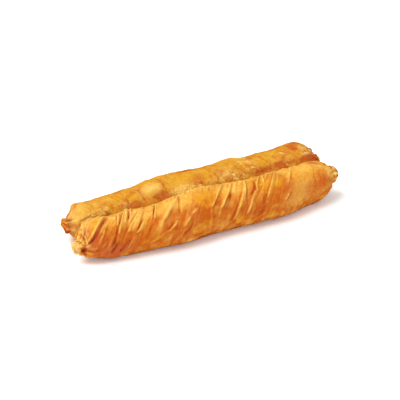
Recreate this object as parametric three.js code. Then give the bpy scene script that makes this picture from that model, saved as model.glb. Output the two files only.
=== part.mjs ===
// Spinach and cheese pie: two rolls of twisted filo pastry lying side by side,
// baked into one stick. Millimetres, +Z up, X along the rolls, -Y the front roll.
// Each roll is a closed solid: an oval section carried along the length, swelling
// and sagging a little, resting on a flat strip, wound with slanting pleats, and
// drawn in at both ends to a short pinched tail.
import * as THREE from 'three';

// ---- driving sizes (mm) ----
const ROLL_HALF_WIDTH = 17.56;      // oval section, half its width
const ROLL_HEIGHT = 34.92;          // oval section, full height before it settles
const ROLL_SPACING = 31.59;         // between the two centre lines
const SETTLE = 0.985;               // centre height as a share of half the height
const GAP = 0.3;                    // between the two rolls where they touch
const STATION_PITCH = 30;           // stations for swell and bow run from -120 to 120
const STATION_FIRST = -120;

const PLEAT_SHEAR = 15.3;           // how far a pleat runs along X, half swing
const PLEAT_CENTRE = 50;            // degrees up from the outer side
const PLEAT_WIDTH = 3.4;            // half width of a ridge
const TAIL_PLEATS = 7;              // radial creases of a pinched tail
const TAIL_CREASE = 0.09;           // their depth as a share of the tail radius

// shoulder = length over which the roll rounds down to its tail; an end can be blunter on one
// side: blunt and slant are the shares by which shoulder and tail shorten towards that angle
const FRONT = {
  name: 'roll_front', side: -1, rings: 122, around: 20, twist: 1,
  swell: [1.02, 0.91, 0.938, 1.015, 1.046, 1.004, 1.005, 0.94, 1.052],
  bow: [-2.84, -1.88, 0.41, 3.09, 1.09, 1.98, 2.4, -2.75, -5.1],
  left: { tip: -116.8, tail: 8.0, radius: 6.5, shoulder: 20.8, out: 2.5, lift: -3.5, blunt: 0.4, slant: 0.6, towards: 130 },
  right: { tip: 118.4, tail: 5.8, radius: 7.2, shoulder: 22.2, out: 3.7, lift: 1.6 },
  // ridges (station along the roll, height) and furrows (negative height)
  pleats: [[-99.5, -1.5], [-92, 0.6], [-84.3, -1.3], [-80, 1.0], [-72, 1.1], [-63.7, 1.1], [-54, 0.9],
    [-43.4, 0.8], [-33.7, -0.9], [-23.4, 0.5], [0.2, 1.0], [9.7, 1.1], [23.9, 1.3], [33.1, 1.1],
    [40.6, 0.7], [48.4, 1.2], [67.5, 0.6], [84, 0.4]],
  colour: 0xdf9638,
};
const BACK = {
  name: 'roll_back', side: 1, rings: 112, around: 20, twist: 0.45,
  swell: [0.95, 0.901, 0.916, 1.013, 1.019, 1.019, 0.989, 1.041, 1.122],
  bow: [-0.3, -0.42, 0.37, 0.78, 0.97, 0.8, 0.54, -0.22, -0.18],
  left: { tip: -112.0, tail: 4.0, radius: 7.2, shoulder: 15.9, out: 1.9, lift: 0.2 },
  right: { tip: 118.2, tail: 5.2, radius: 7.3, shoulder: 17.7, out: -1.6, lift: -0.6 },
  pleats: [[-92, -1.0], [-80, 0.8], [-62, 0.8], [-47, -1.2], [-38, 1.0], [-27, -1.0], [-12, 0.7], [3, 0.7],
    [18, -1.0], [30, 0.8], [47, -0.9], [58, 0.8], [68, -1.0], [82, 0.8], [94, -1.0]],
  colour: 0xdd9539,
};

const clamp01 = (t) => Math.min(1, Math.max(0, t));
const rad = THREE.MathUtils.degToRad;

// smooth curve through values at evenly spaced stations
function along(values, x) {
  const t = Math.min(values.length - 1.0001, Math.max(0, (x - STATION_FIRST) / STATION_PITCH));
  const i = Math.floor(t), f = t - i;
  const at = (k) => values[Math.min(values.length - 1, Math.max(0, k))];
  const m0 = (at(i + 1) - at(i - 1)) / 2, m1 = (at(i + 2) - at(i)) / 2;
  const f2 = f * f, f3 = f2 * f;
  return (2 * f3 - 3 * f2 + 1) * at(i) + (f3 - 2 * f2 + f) * m0
    + (-2 * f3 + 3 * f2) * at(i + 1) + (f3 - f2) * m1;
}

// one end of a roll at distance d from its tip, on the side at angle phi: share of the full
// section, tail radius, how far the side has drawn in, and how far the centre has moved over
// to the tail's
function endForm(end, d, phi) {
  const lean = end.blunt ? Math.cos(phi - rad(end.towards)) : 0;
  const tail = end.tail * (1 - (end.slant || 0) * Math.max(0, lean));
  const q = clamp01((d - tail) / (end.shoulder * (1 - (end.blunt || 0) * lean)));
  return {
    body: Math.sqrt(1 - Math.pow(1 - q, 2.3)),
    tail: Math.sqrt(clamp01((d + 0.6) / 2.6)) * end.radius * (0.9 + 0.1 * Math.cos(Math.PI * clamp01(d / end.tail))),
    w: 1 - q,
    moved: (1 - clamp01((d - end.tail) / end.shoulder)) ** 2,
  };
}

// run of a pleat along X as it goes round the roll: a rounded zigzag, steady over
// the outer side and top, turning back underneath
function pleatRun(phi) {
  const p = phi - rad(PLEAT_CENTRE);
  return PLEAT_SHEAR * (Math.sin(p) - Math.sin(3 * p) / 9);
}

// ridges and furrows: a steep near side and a long far side
function pleatHeight(pleats, u) {
  let h = 0;
  for (const [station, height] of pleats) {
    const d = u - station;
    const w = PLEAT_WIDTH * (d < 0 ? 0.75 : 1.25);
    h += height * Math.max(0, 1 - Math.abs(d) / w) ** 1.3;
  }
  return h;
}

function rollPoint(spec, u, phi, tipFade) {
  const { side, left, right } = spec;
  const x = u + spec.twist * pleatRun(phi) * tipFade;
  const L = endForm(left, Math.max(0, x - left.tip), phi), R = endForm(right, Math.max(0, right.tip - x), phi);
  const swell = along(spec.swell, x), bow = along(spec.bow, x);
  const c = Math.cos(phi), s = Math.sin(phi);
  const a = ROLL_HALF_WIDTH, b = ROLL_HEIGHT / 2;
  const n = 2.1 + 0.6 * Math.max(0, -s);            // squarer underneath
  const oval = Math.pow(Math.pow(Math.abs(c / a), n) + Math.pow(Math.abs(s / b), n), -1 / n);
  const body = oval * swell * L.body * R.body;
  const endW = Math.max(L.w, R.w);
  const tail = (L.w > R.w ? L.tail : R.tail) * (endW > 0 ? 1 : 0)
    * (1 + TAIL_CREASE * endW * endW * Math.cos(TAIL_PLEATS * phi));
  let r = Math.pow(body ** 4 + tail ** 4, 0.25);
  // pleats show on the top and the outer side, and die out below and at the tails
  const shown = THREE.MathUtils.smoothstep(Math.sin(phi + rad(8)), -0.75, -0.1);
  r += pleatHeight(spec.pleats, u) * shown * clamp01(1.25 - 1.25 * endW);
  const out = r * c + L.moved * left.out + R.moved * right.out;
  const z = b * swell * SETTLE + r * s + L.moved * left.lift + R.moved * right.lift;
  const y = Math.max(GAP / 2, ROLL_SPACING / 2 + bow + out);
  return new THREE.Vector3(x, side * y, Math.max(0, z));
}

function rollGeometry(spec) {
  const { rings, around, side, left, right } = spec;
  const points = [];
  for (let i = 0; i < rings; i++) {
    const t = i / (rings - 1);
    const even = 0.6 * t + 0.4 * (0.5 - 0.5 * Math.cos(Math.PI * t));   // closer rings at the ends
    const u = left.tip + (right.tip - left.tip) * even;
    // the slant of the rings fades out towards the tips
    const tipFade = THREE.MathUtils.smoothstep(Math.min(u - left.tip, right.tip - u), 2, 44);
    for (let j = 0; j < around; j++) points.push(rollPoint(spec, u, 2 * Math.PI * (j + 0.5) / around, tipFade));
  }
  const index = [];
  const tri = (a, b, c) => (side < 0 ? index.push(a, b, c) : index.push(a, c, b));
  for (let i = 0; i < rings - 1; i++) {
    for (let j = 0; j < around; j++) {
      const k = (j + 1) % around;
      const p = i * around + j, q = (i + 1) * around + j, r = (i + 1) * around + k, s = i * around + k;
      tri(p, q, r); tri(p, r, s);
    }
  }
  // closed tips
  for (const [ring, flip] of [[0, true], [rings - 1, false]]) {
    const centre = new THREE.Vector3();
    for (let j = 0; j < around; j++) centre.addScaledVector(points[ring * around + j], 1 / around);
    const m = points.push(centre) - 1;
    for (let j = 0; j < around; j++) {
      const a = ring * around + j, b = ring * around + (j + 1) % around;
      if (flip) tri(m, a, b); else tri(m, b, a);
    }
  }
  const geometry = new THREE.BufferGeometry().setFromPoints(points);
  geometry.setIndex(index);
  return geometry;
}

const pie = new THREE.Group();
pie.name = 'spinach_cheese_pie';
const geometries = [FRONT, BACK].map((spec) => rollGeometry(spec));
// origin at the middle of the bottom of the whole pie
const box = new THREE.Box3();
for (const g of geometries) { g.computeBoundingBox(); box.union(g.boundingBox); }
const centre = box.getCenter(new THREE.Vector3());
geometries.forEach((g, k) => {
  const spec = [FRONT, BACK][k];
  g.translate(-centre.x, -centre.y, -box.min.z);
  g.computeVertexNormals();
  const mesh = new THREE.Mesh(g, new THREE.MeshStandardMaterial({ color: spec.colour, roughness: 0.5, metalness: 0 }));
  mesh.name = spec.name;
  pie.add(mesh);
});

export default pie;
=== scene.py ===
"""Looks of the spinach and cheese pie: two rolls of twisted filo pastry baked side by side.

Shapes are worked out in millimetres in the frame of the roll tables below (X along the rolls,
phi the angle round a roll: 0 outwards, 90 up, 180 towards the other roll), then moved into the
row frame and scaled to metres.
"""
import math

import bpy
import numpy as np
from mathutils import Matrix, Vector


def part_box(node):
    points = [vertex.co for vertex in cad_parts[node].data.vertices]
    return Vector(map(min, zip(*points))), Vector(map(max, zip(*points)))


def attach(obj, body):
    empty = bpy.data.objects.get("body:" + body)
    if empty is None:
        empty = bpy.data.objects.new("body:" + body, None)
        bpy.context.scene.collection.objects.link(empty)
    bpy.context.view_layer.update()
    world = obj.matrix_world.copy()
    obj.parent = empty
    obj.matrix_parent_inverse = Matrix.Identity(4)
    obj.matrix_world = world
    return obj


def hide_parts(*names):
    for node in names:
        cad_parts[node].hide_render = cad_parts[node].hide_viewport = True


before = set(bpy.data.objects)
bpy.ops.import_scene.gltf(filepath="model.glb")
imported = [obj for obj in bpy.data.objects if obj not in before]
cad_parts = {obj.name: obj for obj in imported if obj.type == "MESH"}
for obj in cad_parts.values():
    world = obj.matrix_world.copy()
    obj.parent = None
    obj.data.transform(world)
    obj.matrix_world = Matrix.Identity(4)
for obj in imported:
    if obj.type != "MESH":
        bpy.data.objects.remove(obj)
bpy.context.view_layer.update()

# ---------------------------------------------------------------- sizes (mm)
HALF_W, HEIGHT, SPACING, SETTLE = 17.56, 34.92, 31.59, 0.985
GAP = 0.02                # between the rolls where they are baked together
SHEAR, SHEAR_CENTRE = 15.3, 50.0

FRONT = dict(
    side=-1, twist=1.0, seed=11, core=(0.96, 1.12), short=(0.3, 0.3), wrinkle=1.0,      # tails without loose flaps: widths, and how far they stop short
    swell=[1.02, 0.91, 0.938, 1.015, 1.046, 1.004, 1.005, 0.94, 1.052],
    bow=[-2.84, -1.88, 0.41, 3.09, 1.09, 1.98, 2.4, -2.75, -5.1],
    left=dict(tip=-116.8, tail=8.0, radius=6.5, shoulder=20.8, out=2.5, lift=-3.5, blunt=0.4, slant=0.6, towards=130),
    right=dict(tip=118.4, tail=5.8, radius=7.2, shoulder=22.2, out=3.7, lift=1.6),
)
BACK = dict(
    side=1, twist=0.45, seed=23, core=(0.98, 1.0), short=(1.6, 0.3), wrinkle=0.4,
    swell=[0.95, 0.901, 0.916, 1.013, 1.019, 1.019, 0.989, 1.041, 1.122],
    bow=[-0.3, -0.42, 0.37, 0.78, 0.97, 0.8, 0.54, -0.22, -0.18],
    left=dict(tip=-112.0, tail=4.0, radius=7.2, shoulder=15.9, out=1.9, lift=0.2),
    right=dict(tip=118.2, tail=5.2, radius=7.3, shoulder=17.7, out=-1.6, lift=-0.6),
)

# where the tables' frame sits in the row frame: the front roll's left tip and flat inner side
f_lo, f_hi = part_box("roll_front")
OFFSET = np.array([f_lo.x * 1000 + 116.8, f_hi.y * 1000 + 0.15, 0.0])


def to_row(p):
    return (p + OFFSET) * 0.001


# ---------------------------------------------------------------- helpers
def smooth(t, a, b):
    t = np.clip((t - a) / (b - a), 0, 1)
    return t * t * (3 - 2 * t)


def along(values, x):
    """smooth curve through values at x = -120, -90 ... 120"""
    v = np.asarray(values, float)
    n = len(v)
    t = np.clip((x + 120) / 30, 0, n - 1.0001)
    i = np.floor(t).astype(int)
    f = t - i
    at = lambda k: v[np.clip(k, 0, n - 1)]
    m0, m1 = (at(i + 1) - at(i - 1)) / 2, (at(i + 2) - at(i)) / 2
    f2, f3 = f * f, f ** 3
    return (2 * f3 - 3 * f2 + 1) * at(i) + (f3 - 2 * f2 + f) * m0 + (3 * f2 - 2 * f3) * at(i + 1) + (f3 - f2) * m1


TABLE = np.random.default_rng(5).uniform(-1, 1, 8192)


def noise(p, size, seed=0):
    """smooth noise in -1..1 over points p (..., 3), with lumps about size across"""
    q = p / size + seed * 17.31
    i = np.floor(q).astype(np.int64)
    f = q - i
    f = f * f * f * (f * (f * 6 - 15) + 10)
    out = 0
    for a in (0, 1):
        for b in (0, 1):
            for c in (0, 1):
                h = ((i[..., 0] + a) * 73856093) ^ ((i[..., 1] + b) * 19349663) ^ ((i[..., 2] + c) * 83492791)
                w = (f[..., 0] if a else 1 - f[..., 0]) * (f[..., 1] if b else 1 - f[..., 1]) * (f[..., 2] if c else 1 - f[..., 2])
                out = out + w * TABLE[h & 8191]
    return out


def fbm(p, size, seed=0, octaves=3, gain=0.5):
    out, amp, tot = 0, 1.0, 0.0
    for k in range(octaves):
        out = out + amp * noise(p, size / 2 ** k, seed + 7 * k)
        tot += amp
        amp *= gain
    return out / tot


def cells(p, size, seed):
    """broken plates about size across: a value in -1..1 for each plate and the distance to its edge"""
    q = p / size + seed * 3.7
    base = np.floor(q).astype(np.int64)
    best, second, value = np.full(p.shape[:-1], 9.0), np.full(p.shape[:-1], 9.0), np.zeros(p.shape[:-1])
    for a in (-1, 0, 1):
        for b in (-1, 0, 1):
            for c in (-1, 0, 1):
                i = base + np.array([a, b, c])
                k = ((i[..., 0] * 73856093) ^ (i[..., 1] * 19349663) ^ (i[..., 2] * 83492791)) & 8191
                j = np.stack([TABLE[k], TABLE[(k * 7 + 1) & 8191], TABLE[(k * 13 + 5) & 8191]], -1) * 0.42 + 0.5
                d = np.linalg.norm(q - i - j, axis=-1)
                nearer = d < best
                second = np.where(nearer, best, np.minimum(second, d))
                value = np.where(nearer, TABLE[(k * 31 + 3) & 8191], value)
                best = np.where(nearer, d, best)
    return value, (second - best) * size


def lin(r, g, b):
    """sRGB 0..255 to linear"""
    c = np.array([r, g, b], float) / 255
    return np.where(c <= 0.04045, c / 12.92, ((c + 0.055) / 1.055) ** 2.4)


def mix(a, b, t):
    t = np.clip(t, 0, 1)[..., None]
    return a * (1 - t) + b * t


# ---------------------------------------------------------------- a roll's plain shape
def run(phi):
    p = phi - math.radians(SHEAR_CENTRE)
    return SHEAR * (np.sin(p) - np.sin(3 * p) / 9)


def end_form(end, d, phi):
    d = np.maximum(d, 0)
    lean = np.cos(phi - math.radians(end.get("towards", 0)))
    start = end["tail"] * (1 - end.get("slant", 0) * np.maximum(0, lean))
    q = np.clip((d - start) / (end["shoulder"] * (1 - end.get("blunt", 0) * lean)), 0, 1)
    body = np.sqrt(1 - (1 - q) ** 2.3)
    tail = np.sqrt(np.clip((d + 0.4) / (0.4 + 0.7 * end["tail"]), 0, 1)) * end["radius"] * (0.9 + 0.1 * np.cos(np.pi * np.clip(d / end["tail"], 0, 1)))
    moved = (1 - np.clip((d - end["tail"]) / end["shoulder"], 0, 1)) ** 2
    return body, tail, 1 - q, moved


def plain(spec, x, phi):
    """points (outwards, up) of a roll's plain surface, and how far a point belongs to a tail"""
    lb, lt, lw, lm = end_form(spec["left"], x - spec["left"]["tip"], phi)
    rb, rt, rw, rm = end_form(spec["right"], spec["right"]["tip"] - x, phi)
    swell, bow = along(spec["swell"], x), along(spec["bow"], x)
    c, s = np.cos(phi), np.sin(phi)
    a, b = HALF_W, HEIGHT / 2
    n = 2.1 + 0.6 * np.maximum(0, -s)
    oval = (np.abs(c / a) ** n + np.abs(s / b) ** n) ** (-1 / n)
    body = oval * swell * lb * rb
    w = np.maximum(lw, rw)
    tail = np.where(lw > rw, spec["core"][0] * lt, spec["core"][1] * rt) * (w > 0)
    wrinkle = 1 + spec["wrinkle"] * w * w * (0.07 * np.cos(7 * phi + spec["seed"]) + 0.05 * np.cos(11 * phi + 1.3 * spec["seed"] + x * 0.25))
    r = (body ** 4 + (tail * wrinkle) ** 4) ** 0.25
    out = SPACING / 2 + bow + r * c + lm * spec["left"]["out"] + rm * spec["right"]["out"]
    z = b * swell * SETTLE + r * s + lm * spec["left"]["lift"] + rm * spec["right"]["lift"]
    return out, z, w


# ---------------------------------------------------------------- folds
# Folds run round a roll: points (x, phi in degrees) from the upper end to the lower end, and ends,
# the shares of the length over which the upper and the lower end die out.
def crest(path, h, w, s, run, b, ends=(0.3, 0.2)):
    """edge of a pleat: h its height, w half width of the sharp edge, s the steep side (-1 left, 1 right),
    run how far the gentle side reaches, b how pale it is, and how strong its painted highlight on the edge and its
    painted shade at the foot of the steep side are"""
    return dict(kind="crest", path=path, h=h, w=w, s=s, run=run, b=b, ends=ends)


def crease(path, v, g, d, ends=(0.3, 0.3)):
    """furrow: v its depth, g half width, d how dark it is (painted shade in and beside the furrow)"""
    return dict(kind="crease", path=path, v=v, g=g, d=d, ends=ends)


FOLDS_FRONT = [
    crease([(-92.0, 78), (-94.6, 71), (-98.3, 60), (-101.8, 51), (-105.2, 41), (-106.6, 34)], 1.7, 1.3, 0.9, (0.5, 0.2)),
    crest([(-93.5, 85), (-96.0, 78), (-98.9, 69.5), (-103.4, 59), (-106.5, 52.5), (-108.6, 46)], 1.1, 0.9, 1, 2.2, 1.4, (0.15, 0.2)),
    crest([(-99.0, 100), (-102.5, 84), (-105.6, 72), (-109.5, 60)], 0.4, 0.8, -1, 2.0, 0.35, (0.3, 0.3)),
    crease([(-103.5, 80), (-105.2, 74), (-106.2, 66)], 0.7, 0.9, 0.6, (0.3, 0.3)),
    crease([(-107.0, 96), (-108.5, 88), (-109.6, 78), (-110.6, 66)], 0.8, 0.5, 0.7, (0.3, 0.3)),
    crest([(-107.0, 108), (-109.3, 94), (-110.9, 80), (-112.0, 66)], 0.6, 0.7, 1, 1.4, 0.6, (0.3, 0.3)),
    crest([(-110.8, 78), (-109.9, 58), (-109.3, 36)], 0.7, 0.6, 1, 1.0, 0.8, (0.3, 0.2)),
    crease([(-109.9, 80), (-109.0, 58), (-108.3, 34)], 0.8, 0.4, 0.8, (0.3, 0.3)),
    crest([(-109.2, 82), (-108.3, 58), (-107.5, 32)], 0.7, 0.6, -1, 1.0, 0.8, (0.3, 0.2)),
    crease([(-108.4, 76), (-107.5, 56), (-106.6, 36)], 0.8, 0.4, 0.9, (0.3, 0.3)),
    crest([(-89.2, 72), (-92.6, 65), (-97.3, 54), (-99.9, 44)], 0.5, 0.8, -1, 3.0, 0.25, (0.2, 0.6)),
    crease([(-78.6, 102), (-81, 80), (-82.7, 66), (-84.2, 49)], 0.7, 0.5, 0.7, (0.2, 0.2)),
    crease([(-83.2, 50), (-85.0, 38), (-86.3, 27), (-87.2, 20)], 1.2, 0.9, 0.6, (0.4, 0.3)),
    crease([(-86.0, 28), (-87.2, 19), (-88.4, 12), (-90.0, -2)], 1.6, 1.2, 1.9, (0.4, 0.25)),
    crease([(-85.0, 12), (-86.0, 7), (-87.6, -3), (-89.2, -13), (-91.1, -22), (-93, -28)], 1.7, 1.3, 2.0, (0.2, 0.25)),
    crest([(-84.6, 29), (-86.0, 18), (-88.2, 3), (-90.4, -12)], 0.8, 0.6, -1, 1.0, 0.35, (0.3, 0.4)),
    crease([(-75.0, 14), (-77.6, 4), (-80.0, -6), (-82.2, -15), (-84.8, -24)], 1.6, 1.2, 1.9, (0.4, 0.15)),
    crest([(-76.9, 99), (-79.8, 79), (-81.9, 65), (-82.8, 55)], 1.2, 1.3, -1, 1.4, 1.1, (0.1, 0.4)),
    crease([(-73.4, 104), (-76.4, 86), (-79.5, 69), (-82.6, 54)], 0.9, 0.5, 0.75, (0.15, 0.3)),
    crest([(-72.2, 99), (-75.2, 84), (-78.6, 66), (-81.6, 52), (-83.2, 41), (-83.2, 30)], 1.3, 0.7, -1, 2.6, 1.1, (0.1, 0.3)),
    crest([(-67, 123), (-71.8, 85), (-74.8, 68), (-76.4, 57)], 1.3, 0.7, 1, 1.6, 1.0, (0.05, 0.5)),
    crease([(-67.6, 104), (-70.2, 85), (-72.1, 72)], 0.9, 0.6, 0.7, (0.1, 0.3)),
    crest([(-65.4, 110), (-68.4, 86), (-70.8, 73)], 1.2, 0.7, -1, 1.4, 0.9, (0.05, 0.4)),
    crease([(-72.5, 70), (-76.2, 50), (-76.7, 36), (-77.2, 25)], 0.7, 1.3, 0.6, (0.3, 0.4)),
    crease([(-64.4, 85), (-69.9, 67), (-73.7, 53)], 0.7, 0.5, 0.5, (0.2, 0.3)),
    crest([(-59.6, 93), (-63.9, 78), (-69.8, 60), (-74.5, 43), (-76.6, 31)], 1.5, 0.8, -1, 5.5, 1.1, (0.25, 0.12)),
    crease([(-57.4, 89), (-60.5, 71), (-63.7, 54), (-66.4, 42), (-69.4, 32)], 1.2, 0.7, 1.0, (0.2, 0.2)),
    crest([(-58, 66), (-62.7, 50), (-66.3, 36), (-70.1, 26)], 1.4, 0.6, -1, 3.4, 1.2, (0.35, 0.12)),
    crease([(-48.1, 92), (-51.9, 68), (-54.1, 54), (-55.5, 45)], 1.0, 0.42, 0.8, (0.15, 0.3)),
    crease([(-54.9, 48), (-57.6, 30), (-60.9, 14), (-63.5, -4)], 0.6, 1.3, 0.6, (0.3, 0.4)),
    crest([(-47, 90), (-49.7, 74), (-52.1, 60), (-52.9, 51)], 1.2, 0.7, -1, 2.0, 1.3, (0.2, 0.3)),
    crest([(-34.7, 82), (-41.7, 60), (-47.7, 38), (-50.9, 19), (-52, 7)], 0.9, 2.0, 1, 4.0, 0.55, (0.3, 0.4)),
    crest([(-41.8, 17), (-48.6, 4), (-55.2, -7), (-62.7, -23)], 0.5, 0.9, 1, 2.5, 0.3, (0.3, 0.5)),
    crest([(-28.5, 96), (-36.6, 70), (-42.7, 53), (-45.8, 41)], 1.0, 1.6, 1, 3.5, 0.7, (0.4, 0.4)),
    crease([(-26.6, 96), (-30.7, 68), (-32.9, 49), (-33.5, 41)], 0.9, 0.42, 0.75, (0.1, 0.25)),
    crest([(-25.2, 92), (-28.4, 71), (-30.6, 54), (-31.3, 44)], 0.9, 0.8, -1, 5.0, 0.8, (0.1, 0.5)),
    crease([(-37.6, 30), (-40, 24), (-43.3, 18), (-45.2, 15)], 0.9, 0.5, 0.9, (0.3, 0.2)),
    crest([(-36.4, 34), (-37.8, 27), (-41.9, 18), (-45.3, 9)], 1.3, 0.6, -1, 3.0, 1.1, (0.1, 0.2)),
    crease([(-35.9, 35), (-37.1, 20), (-38.7, 4)], 0.5, 1.2, 0.55, (0.3, 0.4)),
    crest([(-24.4, 35), (-27.7, 26), (-30.3, 18), (-32.3, 11)], 1.1, 1.1, 1, 4.0, 0.9, (0.12, 0.5)),
    crease([(-23.7, 24), (-24.7, 9), (-27.6, -2), (-30.3, -6), (-32.4, -11)], 1.2, 0.8, 1.15, (0.4, 0.2)),
    crest([(-17.9, 49), (-20.6, 44), (-22.9, 38)], 1.1, 1.0, -1, 2.5, 0.9, (0.2, 0.15)),
    crease([(-15.8, 54), (-18.6, 49), (-22.1, 42)], 0.5, 0.5, 0.4, (0.4, 0.3)),
    crest([(8.5, 81), (1.7, 58), (-2.4, 46), (-5.1, 38)], 1.4, 0.7, 1, 3.2, 1.15, (0.3, 0.12)),
    crease([(5.5, 53), (2.7, 42), (2, 32)], 0.7, 1.0, 0.75, (0.3, 0.3)),
    crest([(17.4, 81), (12.6, 62), (6.9, 44), (2.6, 29)], 1.4, 0.8, 1, 3.4, 1.1, (0.25, 0.12)),
    crease([(15.9, 68), (11.9, 46), (8.1, 24), (6.1, 15)], 1.2, 0.8, 1.0, (0.2, 0.4)),
    crease([(-1.8, 19), (-3, 14), (-5, 7)], 0.7, 0.5, 0.7, (0.3, 0.3)),
    crest([(11.3, -10), (7.5, -19), (4, -26)], 0.5, 0.8, 1, 2.0, 0.4, (0.4, 0.4)),
    crest([(24.8, 98), (20.3, 74), (17, 60)], 0.6, 1.3, 1, 2.5, 0.5, (0.2, 0.5)),
    crest([(29.2, 78), (25, 55), (21.6, 41), (17.6, 21), (14.4, 1), (10.9, -16)], 1.4, 0.7, -1, 3.6, 1.2, (0.15, 0.35)),
    crease([(18.6, 25), (15.7, 11), (13.4, 1), (11, -13)], 1.0, 0.6, 0.95, (0.3, 0.3)),
    crease([(30.6, 71), (27.5, 48), (26, 29), (25.2, 18)], 0.8, 0.5, 0.6, (0.3, 0.4)),
    crest([(30.9, 82), (28.1, 64), (26, 47)], 0.7, 0.8, 1, 1.6, 0.6, (0.2, 0.5)),
    crest([(36.3, 57), (30.6, 36), (26.1, 13), (23.9, -4)], 1.4, 0.7, -1, 3.4, 1.15, (0.12, 0.3)),
    crease([(38.3, 73), (35.6, 60), (30.8, 44)], 1.1, 1.0, 1.1, (0.2, 0.3)),
    crease([(26.3, 17), (24.4, 5), (22.6, -7)], 0.8, 0.6, 0.7, (0.4, 0.4)),
    crest([(39.1, 72), (37.9, 62), (36.7, 50)], 1.0, 0.6, -1, 1.6, 1.1, (0.2, 0.2)),
    crest([(47.5, 109), (42.2, 83), (38.5, 66)], 0.9, 0.6, 1, 1.8, 0.9, (0.1, 0.4)),
    crest([(49.5, 106), (47.2, 86), (45.8, 70)], 1.1, 0.7, 1, 1.6, 1.2, (0.1, 0.25)),
    crest([(53.2, 102), (50.9, 92), (48.5, 81)], 0.9, 0.7, 1, 1.4, 0.9, (0.1, 0.4)),
    crest([(58.9, 94), (51.5, 64), (46.2, 43), (43.3, 26)], 1.5, 0.6, -1, 3.0, 1.25, (0.1, 0.25)),
    crease([(44.5, 43), (41.4, 27), (40.4, 12)], 0.7, 1.3, 0.7, (0.3, 0.3)),
    crease([(41.2, 12), (40.3, 5), (37.5, -9), (34.5, -18)], 1.2, 0.7, 1.15, (0.3, 0.25)),
    crease([(34, 13), (32.3, 3), (30.1, -9)], 0.9, 0.7, 0.8, (0.4, 0.3)),
    crest([(65, 28), (62, 19), (58.8, 10)], 0.7, 0.9, 1, 3.0, 0.45, (0.3, 0.3)),
    crease([(66.8, 31), (63.8, 20), (60.5, 9)], 0.9, 0.6, 0.8, (0.3, 0.3)),
    crest([(53.4, 9), (50.7, 4), (47.7, -1)], 0.5, 1.0, 1, 2.0, 0.45, (0.3, 0.3)),
    crest([(74.3, 89), (69, 66), (65.1, 46)], 0.6, 1.2, 1, 2.5, 0.5, (0.2, 0.5)),
]
FOLDS_BACK = [
    crease([(-47.4, 92), (-47.2, 104), (-46.9, 122), (-45.5, 142)], 0.8, 0.7, 0.6),
    crest([(-49.0, 92), (-48.8, 104), (-48.4, 122)], 0.3, 1.2, 1, 3.0, 0.2),
    crease([(-61, 92), (-60.5, 105), (-58, 130)], 0.5, 0.8, 0.3),
    crease([(44.5, 92), (46.9, 106), (48.3, 123)], 0.8, 0.6, 0.7),
    crest([(43.3, 92), (45.7, 106), (47.1, 123)], 0.5, 0.8, 1, 2.5, 0.5),
    crest([(50.0, 98), (52.5, 109), (55.5, 116)], 1.0, 1.0, 1, 2.0, 0.9),
    crest([(79.0, 100), (82, 108), (85.5, 116)], 1.0, 1.0, 1, 2.0, 0.9),
    crease([(-83.5, 128), (-80.2, 136), (-77, 148)], 0.8, 0.8, 0.6),
]
# Edges of the outer sheet: points as for a fold, height of the step, side that stands higher
EDGES_FRONT = [
    ([(76.5, 118), (74.5, 96), (73, 78), (70, 52)], 0.35, 1), ([(-62, 70), (-66, 40), (-74, 5)], 0.3, -1), ([(96, 100), (92, 60), (90, 20)], 0.25, -1),
    ([(2, 60), (-6, 20), (-14, -20)], 0.3, 1), ([(-12, 112), (-16, 80), (-24, 50)], 0.25, -1),
]
EDGES_BACK = [
    ([(12.5, 84), (15.4, 100), (20.5, 144), (21.5, 152)], 0.6, -1), ([(-29.5, 70), (-28.3, 84), (-26.2, 112), (-25.5, 142), (-25, 150)], 0.7, 1),
    ([(-72, 60), (-70, 90), (-66, 130)], 0.3, -1), ([(62, 60), (64, 95), (69, 130)], 0.35, 1), ([(34, 70), (38, 105), (40, 130)], 0.3, -1),
    ([(90, 92), (92, 112), (97, 140)], 0.3, -1), ([(-92, 60), (-90, 100), (-86, 140)], 0.35, 1),
]


FOLD_HEIGHT, FURROW_DEPTH = 1.6, 1.05


def path_distance(path, x, phi_deg, wander, k):
    """signed distance across a path, its share along it, and the points it covers"""
    path = sorted(path, key=lambda q: q[1])
    px = np.array([q[0] for q in path], float)
    pf = np.array([q[1] for q in path], float)
    lo, hi = pf[0], pf[-1]
    m = (phi_deg > lo) & (phi_deg < hi)
    fm = phi_deg[m]
    cx = 0.5 * np.interp(fm, pf, px) + 0.25 * (np.interp(np.clip(fm + 4, lo, hi), pf, px) + np.interp(np.clip(fm - 4, lo, hi), pf, px))
    cx = cx + wander * (np.sin(fm * 0.13 + k * 2.1) + 0.6 * np.sin(fm * 0.41 + k * 1.3))
    slope = (px[-1] - px[0]) / max(1.0, (hi - lo)) / 0.30
    return (x[m] - cx) / math.sqrt(1 + slope * slope), (fm - lo) / (hi - lo), m


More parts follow.
